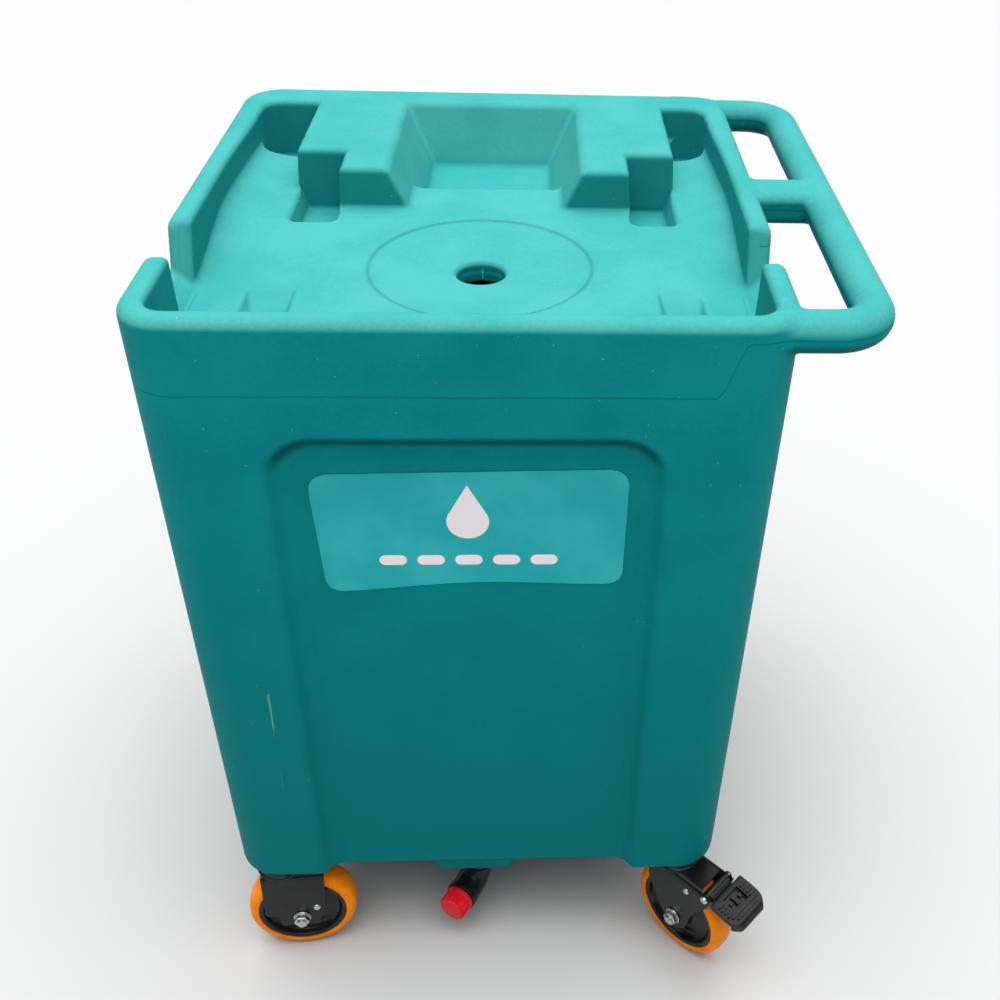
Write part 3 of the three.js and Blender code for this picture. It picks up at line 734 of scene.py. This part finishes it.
LABEL_PALE = (0.026, 0.462, 0.500)
LABEL_DEEP = (0.012, 0.400, 0.440)
PRINT_WHITE = (0.90, 0.86, 0.89)
PRINT_X = -2
PRINT_Z = 623
DASH_PITCH = 36
DASH_RADIUS = 6


def label_finish():
    """A pale teal print with a white drop and dashes, worked out from the place on the label."""
    finish = Finish("label_sticker", 0.35, specular=0.12)
    split = finish.node("ShaderNodeSeparateXYZ", {0: finish.place})
    across = finish.math("SUBTRACT", split.outputs[0], TANK.x + PRINT_X * MM)
    across = finish.product(across, 1000)
    up = finish.product(finish.math("SUBTRACT", split.outputs[2], PRINT_Z * MM), 1000)

    def distance(x, y, centre_x, centre_y):
        return finish.node(
            "ShaderNodeVectorMath",
            {0: finish.node("ShaderNodeCombineXYZ", {0: x, 1: y}).outputs[0],
             1: (centre_x, centre_y, 0)},
            operation="DISTANCE",
        ).outputs["Value"]

    # A row of round-ended dashes.
    along = finish.math("ABSOLUTE", finish.math("WRAP", across, DASH_PITCH / 2, -DASH_PITCH / 2))
    past = finish.math("MAXIMUM", finish.math("SUBTRACT", along, 7), 0)
    dashes = finish.math("SUBTRACT", distance(past, up, 0, -33), DASH_RADIUS)
    ends = finish.math("SUBTRACT", finish.math("ABSOLUTE", across), 2.5 * DASH_PITCH)
    dashes = finish.math("MAXIMUM", dashes, ends)

    # The drop is a disc below two slanting lines that meet at its tip.
    disc = finish.math("SUBTRACT", distance(across, up, 0, 13), 20)
    slant = finish.math("ADD", finish.product(finish.math("ABSOLUTE", across), 0.88),
                        finish.product(finish.math("SUBTRACT", up, 55), 0.475))
    tip = finish.math("MAXIMUM", slant, finish.math("SUBTRACT", 22.5, up))
    shape = finish.math("MINIMUM", finish.math("MINIMUM", disc, tip), dashes)
    ink = finish.math("SUBTRACT", 1, finish.step(shape, -0.35, 0.35))
    cloud = finish.step(finish.noise(60, 3.0), 0.35, 0.65)
    ground = finish.mix(cloud, LABEL_DEEP, LABEL_PALE)
    finish.colour(finish.mix(ink, ground, PRINT_WHITE))
    finish.relief((finish.noise(90, 1.0), 1.2), (finish.noise(7, 2.0), 0.03))
    return finish.material


LOOKS = {
    "teal_polyethylene": TealFinish().material,
    "label_sticker": label_finish(),
    "black_plastic": mottled(
        "black_plastic", (0.005, 0.005, 0.006), (0.012, 0.012, 0.014), 0.32, specular=0.25),
    "black_steel": mottled(
        "black_steel", (0.003, 0.0035, 0.0035), (0.007, 0.008, 0.008), 0.25,
        size_mm=30, grain_mm=2.0, grain_height=0.01, specular=0.28),
    "zinc_steel": mottled(
        "zinc_steel", (0.42, 0.43, 0.44), (0.62, 0.62, 0.62), 0.28,
        size_mm=4, grain_mm=0.8, grain_height=0.01, metallic=1.0),
    "wheel_core_plastic": mottled(
        "wheel_core_plastic", (0.006, 0.006, 0.007), (0.011, 0.011, 0.012), 0.20,
        size_mm=25, grain_mm=1.5, grain_height=0.01, specular=0.28),
    "orange_polyurethane": mottled(
        "orange_polyurethane", (0.90, 0.225, 0.003), (0.98, 0.290, 0.006), 0.38,
        size_mm=16, grain_mm=3.0, grain_height=0.03, specular=0.08),
    "red_plastic": mottled(
        "red_plastic", (0.66, 0.008, 0.016), (0.76, 0.014, 0.022), 0.34, size_mm=8, specular=0.2),
    "black_rubber": mottled(
        "black_rubber", (0.010, 0.010, 0.010), (0.02, 0.02, 0.02), 0.75, size_mm=6),
}


def look(slot):
    return LOOKS[slot], slot


def mm_matrix(matrix):
    """The matrix with its millimetre offset in metres."""
    scaled = matrix.copy()
    scaled.translation *= MM
    return scaled


def give_finish(node, slot):
    """A CAD node that is shown as it is takes a procedural finish."""
    mesh = frame["nodes"][node].data
    mesh.materials.clear()
    mesh.materials.append(LOOKS[slot])


# ---- The moulding and its label ----
body = moulded_mesh("moulded_body", moulding_field, SKIN_LOW, SKIN_HIGH, VOXEL, SKIN_FACES)
shown("moulded_body", body, "tote", *look("teal_polyethylene"),
      ["tank_shell", "top_deck", "side_handle"])


LABEL_LOW_LEFT = (-139, 551)
LABEL_LOW_RIGHT = (146, 559)
LABEL_CORNER = 22


def label_mesh():
    """A thin sticker with round corners, set a little askew, whose lower edge waves."""
    steps = 16
    left, low = LABEL_LOW_LEFT
    right, low_right = LABEL_LOW_RIGHT
    lower = []
    for step in range(2, steps - 1):
        share = step / steps
        rise = low + (low_right - low) * share + 7 * math.sin(math.pi * share) ** 2
        lower.append((left + (right - left) * share, rise, 0))
    outline = [LABEL_LOW_LEFT, *lower, LABEL_LOW_RIGHT, (149, 696), (-148, 690)]
    return prism(filleted(outline, LABEL_CORNER, 8), PANEL_Y - 0.75, PANEL_Y - 0.05)


to_tank = Matrix.Translation(TANK)
add_piece("front_label_sheet", label_mesh(), to_tank, "tote", look("label_sticker"),
          ["front_label"])

# ---- Casters ----
# U runs along the wheel's heading from the stem and Z up from the floor.
AXLE_Z = 62
TRAIL = 20
FORK_INNER = 20
FORK_OUTER = 23
CROWN_TOP = 135
HEX_RADIUS = 8.8
BOLT_TURN = 0.2
ON_AXLE = Matrix.Translation((TRAIL, 0, AXLE_Z)) @ Matrix.Rotation(math.radians(-90), 4, "X")

PLAIN_CHEEK = [
    (-21, 140, 0), (-21, 67, 3), (-6, 65, 2), (-4, 47.5, 4), (40, 47.5, 4), (42, 63, 2),
    (48, 66, 4), (50, 140, 0),
]
BRAKE_CHEEK = [
    (-21, 140, 0), (-21, 100, 8), (4, 56, 8), (11, 46.5, 5), (30, 46.5, 4), (38, 54, 6),
    (42, 76, 12), (50, 96, 9), (61, 111, 9), (66, 120, 6), (68.5, 128, 6), (66, 134.5, 5),
    (60, 136.5, 5), (50, 140, 0),
]
CORNERS = ["front_left", "front_right", "rear_left", "rear_right"]
BRAKED = "front_right"


def caster_frame(corner):
    axle = Vector(joints[f"{corner}_caster_wheel_spin"]["axis"])
    place = Matrix(((axle.y, axle.x, 0, 0), (-axle.x, axle.y, 0, 0), (0, 0, 1, 0), (0, 0, 0, 1)))
    place.translation = swivel_point(corner)
    place.translation.z = 0
    return place


def fork_shape(braked):
    """A plate bent over the wheel and cut to the cheeks' outline."""
    crown = CROWN_TOP - FORK_OUTER + FORK_INNER
    outside = [(-FORK_OUTER, 30, 0), (FORK_OUTER, 30, 0), (FORK_OUTER, CROWN_TOP, 9),
               (-FORK_OUTER, CROWN_TOP, 9)]
    inside = [(-FORK_INNER, 20, 0), (FORK_INNER, 20, 0), (FORK_INNER, crown, 6),
              (-FORK_INNER, crown, 6)]
    channel = combined(
        prism(filleted(outside, 0, 6), -26, 72, axes=(1, 2, 0)),
        prism(filleted(inside, 0, 6), -40, 90, axes=(1, 2, 0)),
        "DIFFERENCE",
    )
    cheek = prism(filleted(BRAKE_CHEEK if braked else PLAIN_CHEEK), -40, 40)
    fork = combined(channel, cheek, "INTERSECT")
    if braked:
        half_gap = FORK_INNER - 0.3
        gap = prism([(52, 104), (90, 104), (90, 150), (52, 150)], -half_gap, half_gap)
        fork = combined(fork, gap, "DIFFERENCE")
    return fork


def hexagon(radius, low, high):
    """A hexagonal head with its outer corners turned off."""
    chamfer = 0.12 * radius
    return lathe([(0, low), (radius, low), (radius, high - chamfer), (radius - chamfer, high),
                  (0, high)], 6)


def turned_ring(inner, outer, low, high, edge=0.5, segments=48):
    corners = [(inner, low), (outer, low), (outer, high), (inner, high)]
    return lathe(filleted(corners, edge, 3), segments)


def both_halves(half):
    """A wheel's profile from its upper half."""
    return half + [(radius, -height, *rest) for radius, height, *rest in reversed(half)]


def add_fork(prefix, place, swivel, braked):
    add_piece(f"{prefix}_fork_plate", fork_shape(braked), place, swivel, look("black_steel"),
              [f"{prefix}_fork"], 0.5)
    cup = lathe(filleted([(8, 133), (26.6, 133), (26.6, 136, 1.2), (23, 138.4, 1.2), (8, 138.4)],
                         0.4))
    add_piece(f"{prefix}_bearing_cup", cup, place, swivel, look("black_steel"), [])
    stem = lathe([(0, 132.3), (6.4, 132.3), (6.4, 139.2), (24.5, 139.2), (25.6, 140),
                  (25.6, 143.2), (25, 143.7), (7, 143.7), (6, 144.5), (6, 176), (5, 177.5),
                  (0, 177.5)])
    add_piece(f"{prefix}_stem_flange", stem, place, "tote", look("black_steel"),
              [f"{prefix}_stem"])


def add_wheel(prefix, axle, wheel):
    core = both_halves([(9.8, 18.8, 0), (15, 18.8, 1), (17, 8, 3), (24, 5.4, 4), (39, 5.0, 4),
                        (43, 8, 3), (45.5, 14.5, 1.5), (49.9, 14.8, 0.8)])
    add_piece(f"{prefix}_wheel_hub", lathe(filleted(core, 1, 5), 96), axle, wheel,
              look("wheel_core_plastic"), [f"{prefix}_wheel_core"])
    tread = both_halves([(50.2, 15.7, 0.6), (54.5, 15.9, 3), (60, 12.2, 5), (61.9, 5.5, 6)])
    add_piece(f"{prefix}_wheel_tyre", lathe(filleted(tread, 1, 6), 128), axle, wheel,
              look("orange_polyurethane"), [f"{prefix}_wheel_tread"])


def add_axle(prefix, axle, swivel):
    bolt = united(
        lathe([(0, -33.5), (5, -33.5), (5.9, -32.6), (5.9, 24), (0, 24)], 32),
        moved(hexagon(HEX_RADIUS, 24.8, 30), Matrix.Rotation(BOLT_TURN, 4, "Z")),
        turned_ring(6.2, 9.8, 23.3, 24.7),
    )
    add_piece(f"{prefix}_axle_screw", bolt, axle, swivel, look("zinc_steel"),
              [f"{prefix}_axle_bolt"])
    bore = lathe([(0, 0), (6, 0), (6, 60), (0, 60)], 32)
    nut = combined(hexagon(HEX_RADIUS, 24.8, 31.5), bore, "DIFFERENCE")
    nut = united(
        turned_ring(6.2, 9.8, -24.7, -23.3),
        moved(nut, Matrix.Scale(-1, 4, (0, 0, 1))),
    )
    add_piece(f"{prefix}_axle_lock_nut", nut, axle, swivel, look("zinc_steel"),
              [f"{prefix}_axle_nut"], 0.3)


def add_caster(corner):
    place = caster_frame(corner)
    axle = place @ mm_matrix(ON_AXLE)
    braked = corner == BRAKED
    prefix = f"{corner}_caster"
    swivel = f"{prefix}_swivel"
    add_fork(prefix, place, swivel, braked)
    add_wheel(prefix, axle, f"{prefix}_wheel")
    add_axle(prefix, axle, swivel)

    # A round rivet head stands on each cheek.
    u, z = (34, 119) if braked else (38, 77)
    for side, name in ((-1, "near"), (1, "far")):
        head = lathe([(0, 0), (4.2, 0), (4.1, 0.5), (3.4, 1.3), (2, 1.9), (0, 2.1)], 24)
        turn = Matrix.Rotation(math.radians(-90 * side), 4, "X")
        spot = Matrix.Translation((u, side * FORK_OUTER, z)) @ turn
        add_piece(f"{prefix}_rivet_{name}", head, place @ mm_matrix(spot), swivel,
                  look("zinc_steel"), [])
    for node in (f"{prefix}_insert", f"{prefix}_axle_sleeve"):
        give_finish(node, "zinc_steel")


for corner in CORNERS:
    add_caster(corner)

# ---- The foot brake ----
PIVOT_U = 60
PIVOT_Z = 128
PEDAL_TOP = 7.3
PEDAL_CREST = 18
RECESS_U = 27.5
PEDAL_TILT = math.atan2(5.5, 32)


def tilted_block(u, v, half_u, half_v, low, high):
    """A block on the pedal's sloping top. low and high are measured square to that top."""
    block = prism([(-half_u, low), (half_u, low), (half_u, high), (-half_u, high)],
                  v - half_v, v + half_v)
    top = PEDAL_TOP - math.tan(PEDAL_TILT) * (u - PEDAL_CREST)
    spot = Matrix.Translation((PIVOT_U + u, 0, PIVOT_Z + top))
    return moved(block, spot @ Matrix.Rotation(PEDAL_TILT, 4, "Y"))


def add_brake():
    place = caster_frame(BRAKED)
    prefix = f"{BRAKED}_caster_brake"
    arm = [(-4, -4, 3), (4, -5, 3), (42, -6, 1), (42, -3.2, 1), (12, -0.3, 2), (4, 5, 3),
           (-4, 4, 3)]
    on_pivot = [(PIVOT_U + u, PIVOT_Z + z, *rest) for u, z, *rest in arm]
    barrel = lathe(filleted([(3.3, -17), (6, -17), (6, 17), (3.3, 17)], 0.5), 40)
    across = Matrix.Translation((PIVOT_U, 0, PIVOT_Z)) @ Matrix.Rotation(math.radians(-90), 4, "X")
    lever = united(prism(filleted(on_pivot), -16.5, 16.5), moved(barrel, across))
    add_piece(f"{prefix}_arm", lever, place, prefix, look("black_steel"), [f"{prefix}_lever"])

    side = [(12, 0.8), (42.3, -2.4), (42.3, -8.8), (52, -9.8, 2), (54.6, -6, 2), (50, 1.8, 3),
            (PEDAL_CREST, PEDAL_TOP, 3), (12, PEDAL_TOP, 2)]
    side = [(PIVOT_U + u, PIVOT_Z + z, *rest) for u, z, *rest in side]
    plan = [(68, -27), (96, -28, 3), (104, -27, 4), (115, -17, 4), (116, 17, 4), (104, 27, 4),
            (96, 28, 3), (68, 27)]
    pad = combined(prism(filleted(side), -29, 29),
                   prism(filleted(plan), 80, 180, axes=(0, 1, 2)), "INTERSECT")
    # Three plain bars stand in a recess, with ribs round it.
    pad = combined(pad, tilted_block(RECESS_U, 0, 9, 13, -5, 3), "DIFFERENCE")
    shapes = [pad, tilted_block(RECESS_U, 0, 5.5, 2.6, -5.5, -0.8)]
    shapes += [tilted_block(RECESS_U, v, 2, 2.2, -5.5, -1) for v in (-8, 8)]
    shapes += [tilted_block(u, v, 1.1, 4.8, -1, 2) for u in (22, 26.5, 31, 35.5) for v in (-20, 20)]
    shapes += [tilted_block(u, 0, 1.1, half, -1, 2) for u, half in ((40, 22), (44.5, 18))]
    add_piece(f"{prefix}_pad", united(*shapes), place, prefix, look("black_plastic"),
              [f"{prefix}_pedal"], 0.4)

    shoe = [(-5, -6.6), (-2, -14.4), (1.4, -14.4), (5, -6.6)]
    shoe = prism(filleted([(PIVOT_U + u, PIVOT_Z + z) for u, z in shoe]), -11.8, 11.8)
    add_piece(f"{prefix}_shoe_block", shoe, place, prefix, look("black_rubber"),
              [f"{prefix}_shoe"], 0.4)
    pin = lathe([(0, -26), (2.4, -25.8), (4.2, -24.8), (4.9, -23.3), (2.8, -23.2), (2.8, 23.2),
                 (4.9, 23.3), (4.2, 24.8), (2.4, 25.8), (0, 26)], 32)
    add_piece(f"{prefix}_pin", pin, place @ mm_matrix(across), f"{BRAKED}_caster_swivel",
              look("zinc_steel"), [f"{prefix}_pivot"])


add_brake()

# ---- The drain ----
OUTLET_Y = -235
SPOUT_Z = 52
SPOUT_HEADING = math.radians(240)
ELBOW_RADIUS = 17.8
BEND = 26
CAP_START = 38
THREAD_PITCH = 2.4


def add_drain():
    outlet = Matrix.Translation(TANK + Vector((SUMP_X, OUTLET_Y, 0)) * MM)
    along = Vector((math.cos(SPOUT_HEADING), math.sin(SPOUT_HEADING), 0))
    bore = lathe([(0, 0), (13.6, 0), (13.6, 200), (0, 200)])
    nut = combined(hexagon(20.9, SUMP_Z - 9, SUMP_Z - 0.4), bore, "DIFFERENCE")
    add_piece("drain_hex_nut", nut, outlet, "tote", look("black_plastic"), ["drain_locknut"], 0.5)

    top = SUMP_Z - 9.4
    path = [Vector((0, 0, top)), Vector((0, 0, top - 8))]
    for step in range(13):
        share = step / 12
        rise = SPOUT_Z + BEND * (1 - share) ** 2
        path.append(along * BEND * share ** 2 + Vector((0, 0, rise)))
    path.append(along * (CAP_START - 0.6) + Vector((0, 0, SPOUT_Z)))
    to_spout = Matrix.Translation(along * CAP_START + Vector((0, 0, SPOUT_Z)))
    to_spout = to_spout @ Matrix.Rotation(SPOUT_HEADING - math.pi / 2, 4, "Z")
    to_spout = to_spout @ Matrix.Rotation(math.radians(-90), 4, "X")
    thread = [(8.5, -6), (11.2, -6)]
    for turn in range(5):
        start = THREAD_PITCH * turn
        thread += [(10.6, 1 + start), (11.4, 1.8 + start), (10.6, 2.6 + start)]
    thread += [(10.6, 12.8), (8.5, 12.8)]
    elbow = united(
        swept(path, ELBOW_RADIUS),
        lathe(filleted([(0, top - 16, 0), (20.8, top - 16), (20.8, top), (0, top, 0)], 1.4), 64),
        moved(lathe(filleted([(0, -9, 0), (18.8, -9), (18.8, -0.6), (0, -0.6, 0)], 0.8), 64),
              to_spout),
        moved(lathe(thread), to_spout),
    )
    add_piece("drain_elbow_body", elbow, outlet, "tote", look("black_plastic"), ["drain_elbow"])

    # The cap's grip is ribbed round its side.
    ribs = []
    points, rib_count = 180, 18
    for step in range(points):
        angle = 2 * math.pi * step / points
        radius = 16.1 + 0.8 * math.cos(rib_count * angle)
        ribs.append((radius * math.cos(angle), radius * math.sin(angle)))
    knob = combined(
        prism(ribs, 3, 18.2, axes=(0, 1, 2)),
        lathe(filleted([(0, 0, 0), (17.4, 0), (17.4, 5), (15, 6), (14.9, 19.8), (0, 19.8, 0)],
                       0.8), 64),
        "UNION",
    )
    hollow = lathe([(0, -1), (12, -1), (12, 15.6), (0, 15.6)])
    add_piece("drain_cap_knob", combined(knob, hollow, "DIFFERENCE"),
              outlet @ mm_matrix(to_spout), "drain_cap", look("red_plastic"), ["drain_cap"])
    give_finish("drain_fitting", "black_plastic")
    give_finish("drain_gasket", "black_rubber")
    give_finish("drain_cap_seal", "black_rubber")


add_drain()


# ---- Floor, light and camera ----
def add_floor():
    finish = Finish("pale_floor", 0.9, specular=0.1)
    cloud = finish.noise(900, 2.0)
    finish.colour(finish.mix(cloud, (0.535, 0.535, 0.535), (0.550, 0.550, 0.550)))
    bm = bmesh.new()
    half = 30
    just_below = -0.0005
    corners = [(-half, -half), (half, -half), (half, half), (-half, half)]
    bm.faces.new([bm.verts.new((x, y, just_below)) for x, y in corners])
    mesh = bpy.data.meshes.new("studio_floor")
    bm.to_mesh(mesh)
    mesh.materials.append(finish.material)
    floor = bpy.data.objects.new("studio_floor", mesh)
    bpy.context.scene.collection.objects.link(floor)


DOME_POWER = 6
DOME_TOP = 6.6
DOME_LEAST = 0.16
BACKDROP = 0.95


def add_light():
    """A dome that is brightest overhead, so that the floor is evenly lit. Behind the floor it
    is seen as pale as the floor is."""
    world = bpy.data.worlds.new("studio")
    world.use_nodes = True
    nodes, links = world.node_tree.nodes, world.node_tree.links
    nodes["Background"].inputs["Color"].default_value = (1, 1, 1, 1)
    place = nodes.new("ShaderNodeTexCoord")
    split = nodes.new("ShaderNodeSeparateXYZ")
    links.new(place.outputs["Generated"], split.inputs[0])
    up = nodes.new("ShaderNodeMath")
    up.operation = "MAXIMUM"
    up.inputs[1].default_value = 0
    links.new(split.outputs["Z"], up.inputs[0])
    power = nodes.new("ShaderNodeMath")
    power.operation = "POWER"
    power.inputs[1].default_value = DOME_POWER
    links.new(up.outputs[0], power.inputs[0])
    scaled = nodes.new("ShaderNodeMath")
    scaled.operation = "MULTIPLY_ADD"
    scaled.inputs[1].default_value = DOME_TOP
    scaled.inputs[2].default_value = DOME_LEAST
    links.new(power.outputs[0], scaled.inputs[0])
    seen = nodes.new("ShaderNodeMix")
    seen.inputs["B"].default_value = BACKDROP
    links.new(nodes.new("ShaderNodeLightPath").outputs["Is Camera Ray"], seen.inputs["Factor"])
    links.new(scaled.outputs[0], seen.inputs["A"])
    links.new(seen.outputs["Result"], nodes["Background"].inputs["Strength"])
    bpy.context.scene.world = world
    bpy.context.scene.view_settings.view_transform = "Standard"


CAMERA_PLACE = (0.015, -1.1668, 1.3474)
CAMERA_TURN = (58.83, -2.09, -2.94)


def add_camera():
    camera = bpy.data.objects.new("camera", bpy.data.cameras.new("camera"))
    camera.data.lens = 43.8
    camera.data.shift_x = -0.1106
    camera.data.shift_y = -0.1214
    camera.location = CAMERA_PLACE
    camera.rotation_euler = [math.radians(angle) for angle in CAMERA_TURN]
    bpy.context.scene.collection.objects.link(camera)
    bpy.context.scene.camera = camera


add_floor()
add_light()
add_camera()
